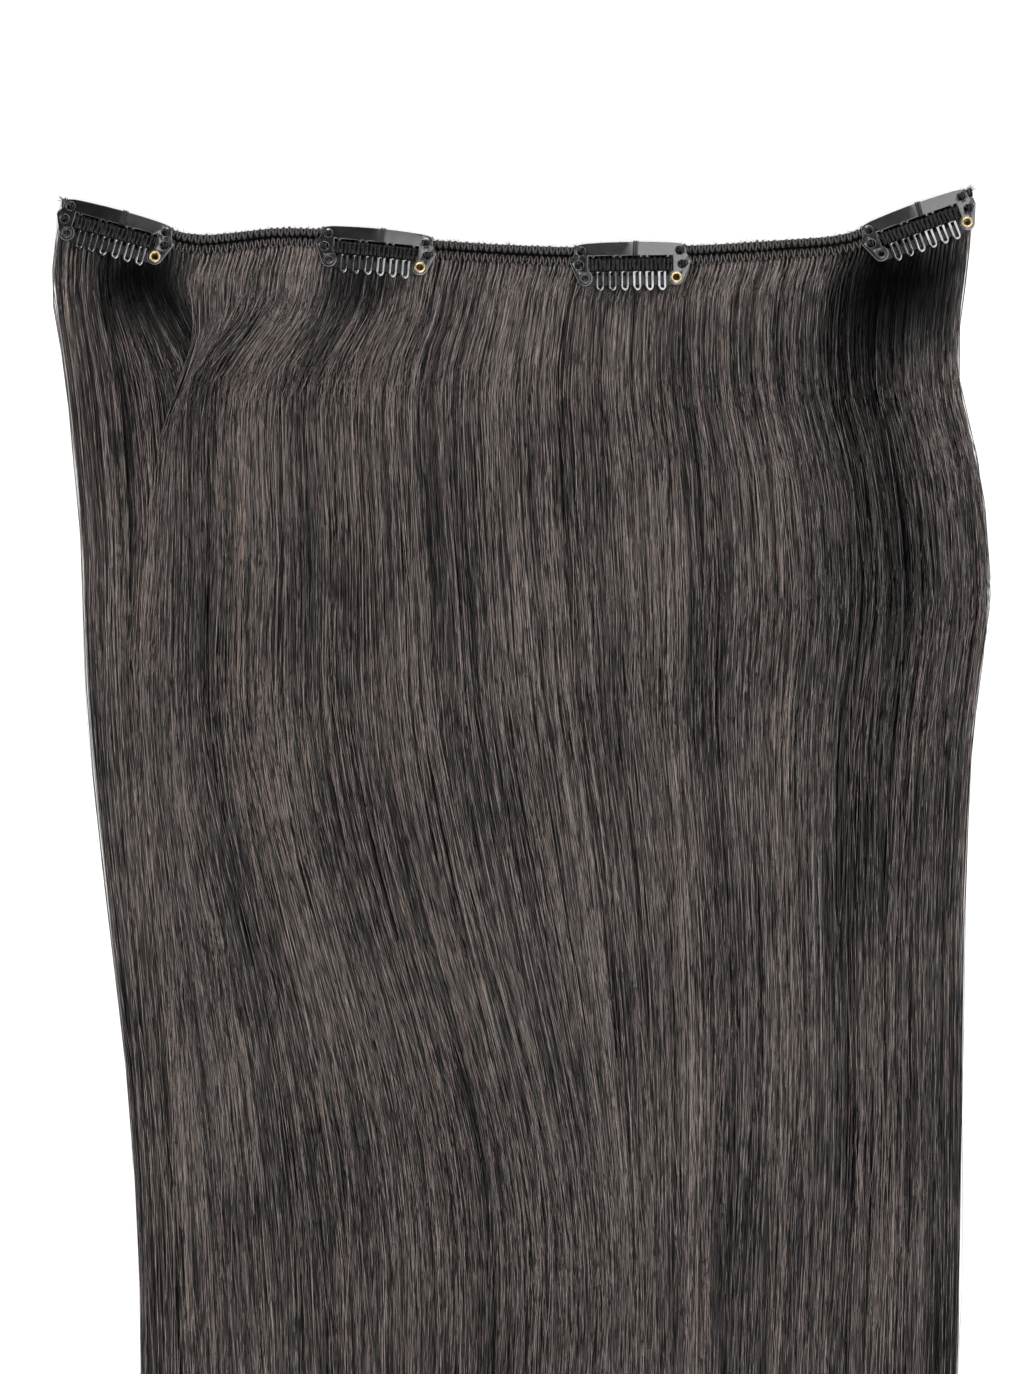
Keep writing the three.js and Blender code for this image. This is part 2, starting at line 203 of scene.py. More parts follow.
def tubeMesh(name, paths, radii, sides, aside, tones=None):
    count, steps = paths.shape[:2]
    tangent = unit(np.gradient(paths, axis=1))
    side = unit(np.cross(tangent, aside))
    top = np.cross(side, tangent)
    angle = 2 * np.pi * np.arange(sides) / sides + np.pi / 2
    around = np.cos(angle)[:, None] * side[:, :, None] + np.sin(angle)[:, None] * top[:, :, None]
    points = paths[:, :, None] + radii[:, :, None, None] * around
    first = (np.arange(count)[:, None, None] * steps + np.arange(steps - 1)[None, :, None]) * sides
    j = np.arange(sides)[None, None]
    nextJ = (j + 1) % sides
    walls = np.stack([first + j, first + sides + j, first + sides + nextJ, first + nextJ], -1).reshape(-1, 4)
    starts = np.arange(count)[:, None] * steps * sides + np.arange(sides)[None]
    ends = starts[:, ::-1] + (steps - 1) * sides
    caps = np.concatenate([starts, ends])
    mesh = bpy.data.meshes.new(name)
    mesh.vertices.add(points.size // 3)
    mesh.vertices.foreach_set("co", (points * mm).astype(np.float32).ravel())
    mesh.loops.add(walls.size + caps.size)
    mesh.loops.foreach_set("vertex_index", np.concatenate([walls.ravel(), caps.ravel()]).astype(np.int32))
    sizes = np.concatenate([np.full(len(walls), 4), np.full(len(caps), sides)])
    mesh.polygons.add(len(sizes))
    mesh.polygons.foreach_set("loop_start", (np.cumsum(sizes) - sizes).astype(np.int32))
    mesh.polygons.foreach_set("use_smooth", np.ones(len(sizes), bool))
    mesh.update(calc_edges=True)
    if tones is not None:
        colour = np.ones((count, steps, sides, 4), np.float32)
        colour[..., :3] = np.stack(tones, -1)[:, :, None]
        mesh.color_attributes.new(name="tone", type="FLOAT_COLOR", domain="POINT")
        mesh.color_attributes["tone"].data.foreach_set("color", colour.ravel())
    return mesh


# hair

hair = {
    "length": 406, "depth": 4.6, "locks": 20, "valley": 0.3, "edge": 0.03,
    # from the weft down: its two sides in shares of the weft's span, and its depth in shares of the most
    "down": [0, 0.03, 0.06, 0.1, 0.14, 0.19, 0.24, 0.3, 0.37, 0.45, 0.55, 0.66, 0.77, 0.88, 0.95, 1],
    "left": [-0.509, -0.511, -0.503, -0.494, -0.488, -0.48, -0.477, -0.472, -0.462, -0.447, -0.429, -0.417,
             -0.413, -0.407, -0.402, -0.396],
    "right": [0.497, 0.491, 0.485, 0.488, 0.507, 0.516, 0.519, 0.503, 0.496, 0.49, 0.488, 0.487, 0.482, 0.475,
              0.468, 0.461],
    "deep": [0.41, 0.46, 0.8, 0.98, 1, 0.96, 0.92, 0.9, 0.86, 0.82, 0.76, 0.7, 0.62, 0.5, 0.36, 0.2],
    "pieces": 5, "strandsEach": 1370, "steps": 20, "crowding": 1.7, "wisps": 520, "radius": 0.1, "parting": 0.15,
    "bundles": 212, "bundled": 0.9, "wispNarrow": 0.0009, "wispSwell": 0.002, "farthest": 0.35,
    "uneven": (0.65, 1.3), "strayShare": 0.08, "strayFar": 3.8, "strayThin": 0.7, "strayLevel": 1.02,
    "rootUp": 0.9, "rootOut": 0.35, "rootDeep": 1.7,
    "tipThin": 0.65, "tipFrom": 0.93, "tipRagged": 0.05, "lowest": 0.25,
    "massAcross": 110, "massDown": 52, "massLevel": 0.5, "massReach": 0.958, "massFoot": 0.1,
}
# how light a strand's colour is: its usual level, and how much each cause adds or takes away
lightness = {
    "usual": 0.55, "streak": 0.06, "patch": 0.14, "bundle": 0.26, "strand": 0.27, "stray": 0.35, "strayLit": 0.7,
    "rightDark": 0.55, "crease": 0.55, "low": 0.04, "lowRight": 0.06, "leftRoots": 0.18, "most": 1.4,
}
clipPlaces = [-0.437, -0.1534, 0.1245, 0.436]
# the hollow under each clip, where the hair is pressed down and its strands are darkened with painted shade: place,
# half width, length and depth of shade
hollows = [
    (0.092, 0.05, 0.052, 1.0), (0.335, 0.045, 0.02, 0.8), (0.62, 0.05, 0.012, 0.6), (0.932, 0.064, 0.07, 1.0),
]
# the sheet of hair that is swept left over the bundle under the first clip
swept = {
    "down": [0, 0.05, 0.075, 0.1, 0.12, 0.155, 0.2, 0.24, 0.45, 0.7, 1],
    "moved": [0, 0, 0.19, 0.49, 0.7, 0.85, 0.945, 1, 1, 0.8, 0.6],
    "across": [0, 0.15, 0.185, 0.222, 0.3, 0.42, 0.6, 0.8, 1],
    "far": [0.072, 0.076, 0.088, 0.098, 0.086, 0.045, 0.008, 0, 0],
}
# how far the flow bends across, each with its place and half width where it has one
flow = {"swing": 0.012, "middle": (0.075, 0.42, 0.17), "bundle": (0.038, 0.105, 0.045)}


def hump(s, place, wide):  # 1 at its place, and fading to both sides
    return np.exp(-(((s - place) / wide) ** 2))


def drift(s, d, parted=True):  # how far the flow moves across, as a share of the width
    held = np.sin(np.pi * s) * ease(d, 0, 0.2)
    long = np.sin(2 * np.pi * (1.2 * d + 0.9 * s))
    short = np.sin(2 * np.pi * (2.5 * d - 1.7 * s + 0.3))
    swing = flow["swing"] * held * (long + 0.5 * short)
    far, *spot = flow["middle"]
    middle = far * hump(s, *spot) * ease(d, 0.2, 0.62)
    edge = ease(s, hair["parting"] - 0.001, hair["parting"] + 0.001) if parted else ease(s, 0.04, 0.24)
    sooner = 1 + 0.5 * ease(s, hair["parting"], 0.222)
    sheet = -readCurve(swept["across"], swept["far"], s) * readCurve(swept["down"], swept["moved"], d * sooner)
    far, *spot = flow["bundle"]
    bundle = far * hump(s, *spot) * (ease(d, 0.015, 0.09) - 1.3 * ease(d, 0.12, 0.3))
    return swing + middle + edge * sheet + (1 - edge) * bundle


# how deep each clip's hollow is: it lowers the hair, and it darkens the strands there as painted shade
def clipHollowShade(s, d, longer=1.0):
    shade = np.zeros(np.broadcast(s, d).shape)
    ragged = 0.006 * np.sin(2 * np.pi * 61 * s) + 0.005 * np.sin(2 * np.pi * 143 * s + 1)
    for place, (centre, wide, long, strong) in zip(clipPlaces, hollows):
        rise = readCurve(weft["along"], weft["rise"], place) * weft["span"] / hair["length"]
        below = d + rise - 0.025
        shade = np.maximum(shade, strong * np.exp(-(((s - centre) / wide) ** 4)) * ease(below, -0.012, 0.008)
                           * (1 - ease(below, 0.35 * long, (1.35 * long + ragged) * longer)))
    return shade


def hairTop(s, d):  # height of the hair's upper surface
    valley = np.cos(np.pi * hair["locks"] * s) ** 2
    edge = np.sqrt(np.clip(np.minimum(s, 1 - s) / hair["edge"] + 0.06, 0.02, 1))
    deep = hair["depth"] * readCurve(hair["down"], hair["deep"], d) * edge
    wave = 0.6 * np.sin(2 * np.pi * (3.1 * s + 4.4 * d)) + 0.5 * np.sin(2 * np.pi * (7.3 * s - 6.2 * d + 0.2))
    fold = ease(s, hair["parting"] - 0.001, hair["parting"] + 0.001) * (1 - ease(s, 0.17, 0.28))
    fold = 1.3 * fold * ease(d, 0.02, 0.09) * (1 - ease(d, 0.35, 0.6))
    sunk = 0.5 * hump(s, 0.12, 0.035) * (1 - ease(d, 0.3, 0.5))
    relief = wave * ease(d, 0.03, 0.12) * (1 - 0.7 * d)
    return (deep * (1 - 0.5 * hair["valley"] * valley) + relief) * (1 - sunk) + fold


def hairPaths(s, level, wander, reach, t, parted=True):
    up = np.full(len(s), -bandHigh + hair["rootUp"])  # the roots are hidden in the lower row
    root = weftPoint(s[:, 0] - 0.5, up, hair["rootOut"] + hair["rootDeep"] * level[:, 0])
    tip = weft["shift"][1] - hair["length"] * reach
    y = root[:, 1:2] + (tip - root[:, 1:2]) * t
    d = np.clip((weft["shift"][1] - y) / hair["length"], 0, 1)
    left = readCurve(hair["down"], hair["left"], d) * weft["span"]
    right = readCurve(hair["down"], hair["right"], d) * weft["span"]
    x = left + (right - left) * (s + drift(s, d, parted)) + wander + weft["shift"][0]
    fallen = (root[:, 1:2] - y) / hair["length"]
    free = ease(fallen, 0.001, 0.022)
    x = root[:, :1] * (1 - free) + x * free
    z = level * hairTop(s, d) * (1 - 0.65 * clipHollowShade(s, d, 1.5))
    settle = ease(fallen, 0.004, 0.04)
    z = root[:, 2:] * (1 - settle) + z * settle
    return np.stack([x, y, np.maximum(z, hair["lowest"])], -1), d


def strandTone(s, d, own):  # how light a strand's colour is along its length
    streak = (0.35 * np.sin(2 * np.pi * (31 * s + 1.3 * d)) + 0.35 * np.sin(2 * np.pi * (73 * s - 2.1 * d + 0.4))
              + 0.3 * np.sin(2 * np.pi * (11.3 * s + 2.2 * d + 0.1)))
    # broad lighter and darker patches across the hair: painted sheen and shade
    patch = np.sin(2 * np.pi * (5.1 * s + 2.3 * d)) * np.sin(2 * np.pi * (3.3 * s - 3.1 * d + 0.3))
    # a darker band down the right side: painted shade
    rightDark = hump(s, 0.885, 0.045) * (1 - ease(d, 0.35, 0.7)) * (0.6 + 0.4 * (1 - ease(d, 0.1, 0.3)))
    # darker along the crease near the left: painted shade in the crease
    crease = hump(s, 0.128, 0.028) * ease(d, 0.02, 0.05) * (1 - ease(d, 0.12, 0.3))
    # near the roots each bundle is lighter at its middle and darker between bundles: painted light and shade
    bundles = np.cos(2 * np.pi * hair["bundles"] * s) * (1 - ease(d, 0.012, 0.035))
    shaded = lightness["low"] * ease(d, 0.45, 0.7) + lightness["lowRight"] * ease(s, 0.6, 0.8) * ease(d, 0.5, 0.75)
    shaded = shaded + lightness["leftRoots"] * (1 - ease(s, 0.05, 0.09)) * (1 - ease(d, 0.07, 0.17))
    tone = (lightness["usual"] + lightness["streak"] * streak + lightness["patch"] * patch
            + lightness["bundle"] * bundles + own - lightness["rightDark"] * rightDark
            - lightness["crease"] * crease - shaded)
    # under each clip the strands are darkened: painted shade in its hollow
    return np.clip(tone * (1 - clipHollowShade(s, d)), 0, lightness["most"])


def makeStrands(name, count, material):
    wisp = dice.integers(0, hair["wisps"], count)
    centre = (np.arange(hair["wisps"]) + 0.5) / hair["wisps"]
    wispPhase, wispBend = hairLook["phase"][wisp], hairLook["bend"][wisp]
    even = np.linspace(0, 1, hair["steps"])[None]
    inner = np.minimum(1, hair["steps"] * np.minimum(even, 1 - even))
    t = (even + inner * dice.uniform(-0.48, 0.48, count)[:, None] / hair["steps"]) ** hair["crowding"]
    swell = 0.5 + 0.5 * np.sin(2 * np.pi * (2.4 * t + wispPhase[:, None]))
    gather = hair["wispNarrow"] + hair["wispSwell"] * swell
    s = centre[wisp][:, None] + dice.normal(0, 1, count)[:, None] * gather * ease(t, 0, 0.03)
    s = np.clip(s + dice.uniform(-0.5, 0.5, count)[:, None] / hair["wisps"],
                0.004 - 0.006 * dice.random(count)[:, None], 0.996 + 0.006 * dice.random(count)[:, None])
    gathered = hair["bundled"] * (1 - ease(t, 0.006, 0.045)) / (2 * np.pi * hair["bundles"])
    s = s - gathered * np.sin(2 * np.pi * hair["bundles"] * s)
    level = np.clip(1 - 0.5 * dice.random(count) ** 1.6, 0.3, 1)[:, None] * (1 + 0.04 * np.sin(
        2 * np.pi * (3 * t + dice.random(count)[:, None])))
    strays = dice.random(count)[:, None] < hair["strayShare"]  # single hairs that cross over the others
    level = np.where(strays, hair["strayLevel"], level)
    loose = np.where(strays, hair["strayFar"], hair["farthest"])
    own = np.sin(2 * np.pi * (dice.uniform(0.6, 1.8, count)[:, None] * t + dice.random(count)[:, None]))
    group = np.sin(2 * np.pi * (1.1 * t + wispPhase[:, None] * 3))
    wander = (loose * own + wispBend[:, None] * group) * ease(t, 0.02, 0.3)
    wander = wander * (0.35 + 0.65 * ease(np.minimum(s, 1 - s), 0, 0.035))
    reach = 1 - hair["tipRagged"] * dice.random(count)[:, None] ** 2 - hairLook["short"][wisp][:, None]
    paths, d = hairPaths(s, level, wander, reach, t)
    taper = 1 - hair["tipThin"] * ease(t, hair["tipFrom"], 1.0)
    radii = hair["radius"] * dice.uniform(*hair["uneven"], count)[:, None] * taper
    radii = radii * np.where(strays, hair["strayThin"], 1.0)
    toneOwn = (dice.normal(0, lightness["strand"], count) + hairLook["tone"][wisp])[:, None]
    lit = strays & (dice.random(count)[:, None] < lightness["strayLit"])
    toneOwn = toneOwn + np.where(lit, lightness["stray"], 0.0)
    tones = (strandTone(s, d, toneOwn), np.repeat(dice.random(count)[:, None], hair["steps"], 1), t)
    mesh = tubeMesh(name, paths, radii, 3, np.array([0.0, 0.0, 1.0]), tones)
    addPiece(name, mesh, material, "root")


# Human hair dyed off-black: a scaled cuticle over a dark core, so it is glossy across and soft along.
hairFibre, fibreTree = newMaterial("dyedHumanHair")
fibreTone = addNode(fibreTree, "ShaderNodeAttribute", {"attribute_name": "tone"})
fibreParts = addNode(fibreTree, "ShaderNodeSeparateColor", links={"Color": fibreTone.outputs["Color"]})
fibrePlace = addNode(fibreTree, "ShaderNodeCombineXYZ",
                     links={"X": fibreParts.outputs["Green"], "Y": fibreParts.outputs["Blue"]})
fibreScale = addNode(fibreTree, "ShaderNodeMapping",
                     links={"Vector": fibrePlace.outputs["Vector"], "Scale": (900, 58, 1)})
fibreNoise = addNode(fibreTree, "ShaderNodeTexNoise",
                     links={"Vector": fibreScale.outputs["Vector"], "Scale": 1.0, "Detail": 2})
# Each strand turns lighter and darker along its length, as its scales catch the light.
fibreGlint = addNode(fibreTree, "ShaderNodeMapRange",
                     links={"Value": fibreNoise.outputs["Fac"], "From Min": 0.3, "From Max": 0.7, "To Min": 0.36,
                            "To Max": 1.66})
fibreLevel = addNode(fibreTree, "ShaderNodeMath", {"operation": "MULTIPLY"},
                     links={0: fibreParts.outputs["Red"], 1: fibreGlint.outputs["Result"]})
# the strand's tone turned into colour: the dye, together with the painted light and shade it carries
fibreDyeLightAndShade = addNode(fibreTree, "ShaderNodeValToRGB", links={"Fac": fibreLevel.outputs[0]}, stops=[
    (0.0, "#040404"), (0.3, "#161414"), (0.6, "#393331"), (0.85, "#5a514d"), (1.0, "#897d77")])
# Some strands have taken the dye warmer, some colder.
fibreTint = addNode(fibreTree, "ShaderNodeValToRGB", links={"Fac": fibreParts.outputs["Green"]},
                    stops=[(0.0, "#fff0e9"), (0.25, "#fbf3ef"), (0.7, "#f6f6f2"), (1.0, "#e9f1f6")])
fibreColour = addNode(fibreTree, "ShaderNodeMix", {"data_type": "RGBA", "blend_type": "MULTIPLY"},
                      {0: 1.0, 6: fibreDyeLightAndShade.outputs["Color"], 7: fibreTint.outputs["Color"]})
fibreRough = addNode(fibreTree, "ShaderNodeMapRange",
                     links={"Value": fibreNoise.outputs["Fac"], "To Min": 0.38, "To Max": 0.22})
# Strands in the hollows are shaded by their neighbours, so they shine less.
fibreGloss = addNode(fibreTree, "ShaderNodeMapRange",
                     links={"Value": fibreLevel.outputs[0], "From Max": 0.75, "To Min": 0.02, "To Max": 0.62})
fibreShader = addNode(fibreTree, "ShaderNodeBsdfPrincipled", links={
    "Base Color": fibreColour.outputs[2], "Roughness": fibreRough.outputs["Result"],
    "Specular IOR Level": fibreGloss.outputs["Result"], "IOR": 1.55})
addNode(fibreTree, "ShaderNodeOutputMaterial", links={"Surface": fibreShader.outputs[0]})

# The mass of hair below the top strands: the same fibre, packed, so only its streaks show; it is coloured darker
# than the top strands as painted shade for hair lying under them.
hairMass, massTree = newMaterial("packedHair")
massPlace = addNode(massTree, "ShaderNodeTexCoord")
massScale = addNode(massTree, "ShaderNodeMapping",
                    links={"Vector": massPlace.outputs["Object"], "Scale": (2400, 25, 400)})
massNoise = addNode(massTree, "ShaderNodeTexNoise",
                    links={"Vector": massScale.outputs["Vector"], "Scale": 1.0, "Detail": 3, "Roughness": 0.6})
massBump = addNode(massTree, "ShaderNodeBump",
                   links={"Height": massNoise.outputs["Fac"], "Strength": 0.5, "Distance": 0.0002})
massColour = addNode(massTree, "ShaderNodeValToRGB", links={"Fac": massNoise.outputs["Fac"]},
                     stops=[(0.3, "#070606"), (0.7, "#1f1b19")])
massShader = addNode(massTree, "ShaderNodeBsdfPrincipled", links={
    "Base Color": massColour.outputs["Color"], "Roughness": 0.55, "Specular IOR Level": 0.25,
    "Normal": massBump.outputs["Normal"]})
addNode(massTree, "ShaderNodeOutputMaterial", links={"Surface": massShader.outputs[0]})

hairLook = {
    "phase": dice.random(hair["wisps"]), "bend": dice.normal(0, 0.35, hair["wisps"]),
    "tone": dice.normal(0, 0.05, hair["wisps"]), "short": 0.03 * dice.random(hair["wisps"]) ** 2,
}


def makeMass():
    bm = bmesh.new()
    bmesh.ops.create_grid(bm, x_segments=hair["massAcross"], y_segments=hair["massDown"], size=0.5)
    verts = list(bm.verts)
    s = np.array([v.co.x + 0.5 for v in verts])[:, None]
    t = np.array([0.5 - v.co.y for v in verts])[:, None] ** 1.2
    inset = 0.004 + (1 - 0.008) * s
    uneven = 0.008 * np.cos(np.pi * hair["locks"] * s) ** 2 + 0.01 * np.sin(47 * s) + 0.006 * np.sin(131 * s)
    level = np.full_like(s, hair["massLevel"])
    places, _ = hairPaths(inset, level, np.zeros_like(s), hair["massReach"] - uneven, t, parted=False)
    for v, place in zip(verts, places[:, 0]):
        v.co = Vector(place)
    made = bmesh.ops.extrude_face_region(bm, geom=bm.faces[:])
    for v in made["geom"]:
        if isinstance(v, bmesh.types.BMVert):
            v.co.z = hair["massFoot"]
    bmesh.ops.recalc_face_normals(bm, faces=bm.faces[:])
    bmesh.ops.scale(bm, vec=(mm, mm, mm), verts=bm.verts[:])
    mesh = bpy.data.meshes.new("hairMass")
    bm.to_mesh(mesh)
    mesh.polygons.foreach_set("use_smooth", np.ones(len(mesh.polygons), bool))
    addPiece("hairMass", mesh, hairMass, "root", ["hair_curtain"])


makeMass()
for number in range(hair["pieces"]):
    makeStrands(f"hairStrands{number + 1}", hair["strandsEach"], hairFibre)
print("stage: hair")


# weft stitches: overlock thread wound round each row, over the gathered hair ends

stitch = {
    "upper": {"top": 0, "high": weft["upperHigh"], "thick": weft["upperThick"], "pitch": 1.58},
    "lower": {"top": -weft["upperHigh"] - weft["gap"], "high": weft["lowerHigh"], "thick": weft["lowerThick"],
              "pitch": 1.5},
    "turnSteps": 10, "sides": 5, "seamOut": 0.8, "seamRadius": 0.32, "seamSteps": 160,
    "strayHairs": 260, "frayedHairs": 60, "strayLong": (0.8, 2.2), "strayRadius": 0.07,
    # each thread's row, radius, way it turns, lift off the row and how far it is raised
    "threads": {
        "upperStitches": ("upper", 0.38, 1, 0.0, 0.13), "upperStitchesBack": ("upper", 0.26, -1, 0.14, 0.05),
        "lowerStitches": ("lower", 0.18, 1, 0.06, -0.05), "lowerStitchesBack": ("lower", 0.18, -1, 0.1, -0.05),
    },
}


def windThread(name, row, radius, turn, lift, raised, material):
    top, high, thick, pitch = (stitch[row][key] for key in ("top", "high", "thick", "pitch"))
    turns = int(weft["span"] / pitch)
    steps = turns * stitch["turnSteps"] + 1
    a = np.linspace(0, 1, steps)
    knots = np.arange(0, turns + 3, 2.5)
    slack = np.interp(a * turns, knots, dice.normal(0, 1, len(knots)))
    angle = turn * 2 * np.pi * turns * a + 0.4 * slack
    around = np.abs(np.cos(angle)) ** 0.7 * np.sign(np.cos(angle))
    over = np.abs(np.sin(angle)) ** 0.7 * np.sign(np.sin(angle))
    wobble = 0.07 * np.sin(a * 611.0) + 0.06 * np.sin(a * 1373.0)
    up = top - high / 2 + raised + around * (high / 2 - radius * 0.75 + wobble + 1.2 * lift * slack)
    out = thick / 2 + over * (thick / 2 - radius * 0.1 + lift + wobble)
    path = weftPoint(a * 0.996 - 0.498, up, np.maximum(out, 0.12 + radius))
    forward = weftFrame(a * 0.996 - 0.498)[1]
    mesh = tubeMesh(name, path[None], np.full((1, steps), radius), stitch["sides"], forward[None])
    addPiece(name, mesh, material, "root")


def threadMaterial(name, dark, light, roughness):
    material, tree = newMaterial(name)
    place = addNode(tree, "ShaderNodeTexCoord")
    fuzz = addNode(tree, "ShaderNodeTexNoise",
                   links={"Vector": place.outputs["Object"], "Scale": 2600, "Detail": 3})
    ply = addNode(tree, "ShaderNodeTexWave", {"wave_type": "BANDS", "bands_direction": "DIAGONAL"},
                  links={"Vector": place.outputs["Object"], "Scale": 640, "Distortion": 2.0, "Detail": 1})
    both = addNode(tree, "ShaderNodeMath", {"operation": "ADD"},
                   links={0: fuzz.outputs["Fac"], 1: ply.outputs["Fac"]})
    bump = addNode(tree, "ShaderNodeBump", links={"Height": both.outputs[0], "Strength": 0.6, "Distance": 0.00008})
    colour = addNode(tree, "ShaderNodeValToRGB", links={"Fac": fuzz.outputs["Fac"]},
                     stops=[(0.35, dark), (0.65, light)])
    shader = addNode(tree, "ShaderNodeBsdfPrincipled", links={
        "Base Color": colour.outputs["Color"], "Roughness": roughness, "Normal": bump.outputs["Normal"]})
    addNode(tree, "ShaderNodeOutputMaterial", links={"Surface": shader.outputs[0]})
    return material


# Overlock thread of spun polyester: dull and slightly fuzzy, with a ply twist of about 0.5 mm.
thread = threadMaterial("spunPolyesterThread", "#171616", "#4a4645", 0.5)
# The lower row's looper thread is textured filament, which is paler as it spreads.
looperThread = threadMaterial("texturedFilament", "#1b1919", "#65605e", 0.45)
# The clips are sewn on with bonded nylon: denser, darker and a little glossy.
nylonThread = threadMaterial("bondedNylon", "#070707", "#191818", 0.4)

# Gathered hair ends inside the rows, seen between the stitches: dull, as their cut ends scatter the light.
gatheredHair, gatheredTree = newMaterial("gatheredHairEnds")
gatheredPlace = addNode(gatheredTree, "ShaderNodeTexCoord")
gatheredScale = addNode(gatheredTree, "ShaderNodeMapping",
                        links={"Vector": gatheredPlace.outputs["Object"], "Scale": (3200, 60, 800)})
gatheredNoise = addNode(gatheredTree, "ShaderNodeTexNoise",
                        links={"Vector": gatheredScale.outputs["Vector"], "Scale": 1.0, "Detail": 2})
gatheredColour = addNode(gatheredTree, "ShaderNodeValToRGB", links={"Fac": gatheredNoise.outputs["Fac"]},
                         stops=[(0.35, "#050404"), (0.65, "#191614")])
gatheredShader = addNode(gatheredTree, "ShaderNodeBsdfPrincipled", links={
    "Base Color": gatheredColour.outputs["Color"], "Roughness": 0.8, "Specular IOR Level": 0.1})
addNode(gatheredTree, "ShaderNodeOutputMaterial", links={"Surface": gatheredShader.outputs[0]})
for nodeName in ("weft_upper_track", "weft_lower_track"):
    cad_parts[nodeName].data.materials.clear()
    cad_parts[nodeName].data.materials.append(gatheredHair)

# a cord of the same hair closes the seam between the two rows
seamAlong = np.linspace(-0.496, 0.496, stitch["seamSteps"])
seamUp = np.full_like(seamAlong, stitch["lower"]["top"] + weft["gap"] / 2)
seamPath = weftPoint(seamAlong, seamUp, np.full_like(seamAlong, stitch["seamOut"]))
seamMesh = tubeMesh("seamHair", seamPath[None], np.full((1, stitch["seamSteps"]), stitch["seamRadius"]),
                    stitch["sides"], weftFrame(seamAlong)[3][None])
addPiece("seamHair", seamMesh, gatheredHair, "root")
for threadName, facts in stitch["threads"].items():
    windThread(threadName, *facts, thread if facts[0] == "upper" else looperThread)


def makeStrays():  # short hair ends that stand out of the rows, and frayed tufts at the weft's two ends
    count = stitch["strayHairs"] + stitch["frayedHairs"]
    t = np.linspace(0, 1, 5)[None]
    whichEnd = np.where(dice.random(count) < 0.5, -1, 1)
    side = np.where(np.arange(count) < stitch["frayedHairs"], whichEnd, 0)[:, None]
    frayed = side != 0
    along = np.where(frayed, side * 0.496, dice.uniform(-0.498, 0.498, count)[:, None])
    along = along + (dice.normal(0, 0.005, count)[:, None] + side * dice.uniform(0.001, 0.01, count)[:, None]) * t
    long = np.where(frayed, 0.9, 1.0) * dice.uniform(*stitch["strayLong"], count)[:, None]
    up = -0.9 + long * t + dice.normal(0, 0.5, count)[:, None] * t * t
    out = dice.uniform(0.6, 2.4, count)[:, None] + dice.normal(0, 0.5, count)[:, None] * t
    paths = weftPoint(along, up, np.maximum(out, 0.3))
    radii = stitch["strayRadius"] * (1.15 - t) * np.ones((count, 1))
    mesh = tubeMesh("strayEnds", paths, radii, 3, np.array([0.0, 0.0, 1.0]))
    addPiece("strayEnds", mesh, thread, "root")


makeStrays()
print("stage: weft")


# snap clips

clip = {  # millimetres; the roof's slope is in degrees, the least sharp edge in radians
    "long": 32.2, "sheet": 0.5, "eyeletInset": 3.95, "rise": 9.55, "arch": 0.55, "band": 3.65,
    "shoulderInset": 1.2, "shoulderRadius": 1.7, "waistDrop": 3.3, "widest": 4.3, "lug": 2.05,
    "hole": 1.2, "upperHoleInset": 3.0, "lowerHoleInset": 2.4, "upperHoleDrop": 2.35, "lowerHole": 3.5,
    "roof": 2, "weftTop": 8.6, "slot": 1.0, "leg": 0.7, "windowInset": 0.85, "stub": 0.5, "legLong": 0.8,
    "teeth": 6, "toothMargin": 0.74, "toothWide": 2.25, "toothSlot": 0.8, "toothReach": 3.5, "toothRoot": 2.2,
    "bar": 2.75, "gap": 0.2, "bore": 0.85, "wall": 0.2, "bevel": 0.15, "combBevel": 0.08, "bentTooth": 2,
    "cornerRadius": 0.8, "ringSteps": 28, "sharpEdge": 1.2,
}
clipHalf = clip["long"] / 2
eyeletHalf = clipHalf - clip["eyeletInset"]
shoulderHalf = clipHalf - clip["shoulderInset"]
windowTop = clip["rise"] - clip["band"]
windowHalf = eyeletHalf - clip["windowInset"]
hingeHeight = windowTop - clip["stub"] - clip["gap"]
legTop = hingeHeight - clip["gap"]
combTop = legTop - clip["legLong"]
combHalf = windowHalf - 3 * clip["gap"]
plateLevel = clip["sheet"] + clip["gap"]
plateFace = plateLevel + clip["sheet"]
lugHole = clip["bore"] + clip["wall"] + clip["gap"]
legPitch = (windowHalf - clip["slot"] / 2) / 1.5
legInset = (clip["slot"] + clip["leg"]) / 2
legPlaces = [x for slot in (-1.5, -0.5, 0.5, 1.5) for x in (slot * legPitch - legInset, slot * legPitch + legInset)
             if abs(x) < windowHalf]
toothPitch = 2 * (combHalf - clip["toothMargin"]) / clip["teeth"]
toothPlaces = [(i - (clip["teeth"] - 1) / 2) * toothPitch for i in range(clip["teeth"])]
roofSlope = math.tan(math.radians(clip["roof"]))
upperHole = (clipHalf - clip["upperHoleInset"], clip["rise"] - clip["upperHoleDrop"])
lowerHole = (clipHalf - clip["lowerHoleInset"], clip["lowerHole"])


def clipMatrix(place):  # from the clip's own frame, midway between its rivets, to the part's frame
    origin, forward, up, out = weftFrame(place, clipHalf / weft["span"])
    lift = weft["upperThick"] + weft["gap"] + clip["gap"]
    origin = origin - up * clip["weftTop"] + out * lift
    return Matrix([[forward[i], up[i], out[i], origin[i]] for i in range(3)] + [[0, 0, 0, 1]])


def arc(x, y, radius, start, end, steps):
    angles = np.radians(np.linspace(start, end, steps + 1))
    return [(x + radius * math.cos(a), y + radius * math.sin(a)) for a in angles]


def mirrored(points):
    return [(-x, y) for x, y in reversed(points)]


def ringOf(x, y, radius):
    return arc(x, y, radius, 0, 360 - 360 / clip["ringSteps"], clip["ringSteps"] - 1)


